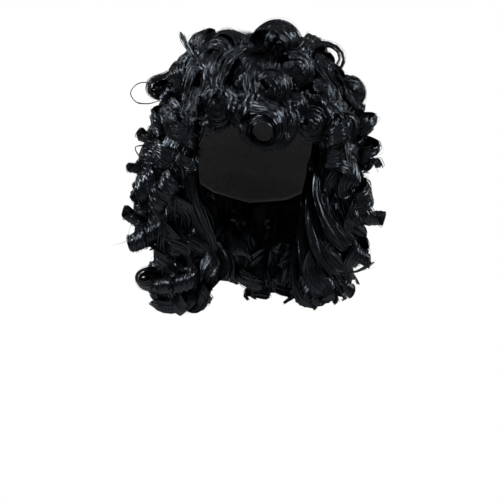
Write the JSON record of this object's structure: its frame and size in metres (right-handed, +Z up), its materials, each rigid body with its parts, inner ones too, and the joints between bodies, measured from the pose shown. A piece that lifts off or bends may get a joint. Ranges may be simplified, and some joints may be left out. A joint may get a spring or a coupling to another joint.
{
  "type": "curly wig",
  "caption": "Shoulder-length wig of loose black ringlets with a curled fringe, sewn in overlapping rows to a thin knitted cap that sits on the head.",
  "frame": {"origin": "the highest point inside the cap, where the top of the head touches it", "axes": "+Z up along the head, -Y out of the face, +X to the right of someone who faces the wearer"},
  "size_m": [0.2792, 0.2824, 0.3313],
  "materials": {
    "hair": "blue-black synthetic hair fibre with a soft gloss",
    "cap": "charcoal knitted net with sewn rows, matt"
  },
  "bodies": {
    "root": {"wig_cap": "cap", "crown_curl_01": "hair", "crown_curl_02": "hair", "crown_curl_03": "hair", "crown_curl_04": "hair", "crown_curl_05": "hair", "crown_curl_06": "hair", "crown_curl_07": "hair", "crown_curl_08": "hair", "fringe_curl_01": "hair", "fringe_curl_02": "hair", "fringe_curl_03": "hair", "fringe_curl_04": "hair", "fringe_curl_05": "hair", "upper_curl_01": "hair", "upper_curl_02": "hair", "upper_curl_03": "hair", "upper_curl_04": "hair", "upper_curl_05": "hair", "upper_curl_06": "hair", "upper_curl_07": "hair", "upper_curl_08": "hair", "upper_curl_09": "hair", "upper_curl_10": "hair", "upper_curl_11": "hair", "upper_curl_12": "hair", "middle_curl_01": "hair", "middle_curl_02": "hair", "middle_curl_03": "hair", "middle_curl_04": "hair", "middle_curl_05": "hair", "middle_curl_06": "hair", "middle_curl_07": "hair", "middle_curl_08": "hair", "middle_curl_09": "hair", "middle_curl_10": "hair", "middle_curl_11": "hair", "middle_curl_12": "hair", "lower_curl_01": "hair", "lower_curl_02": "hair", "lower_curl_03": "hair", "lower_curl_04": "hair", "lower_curl_05": "hair", "lower_curl_06": "hair", "lower_curl_07": "hair", "lower_curl_08": "hair", "lower_curl_09": "hair", "lower_curl_10": "hair", "lower_curl_11": "hair", "lower_curl_12": "hair"}
  },
  "joints": []
}
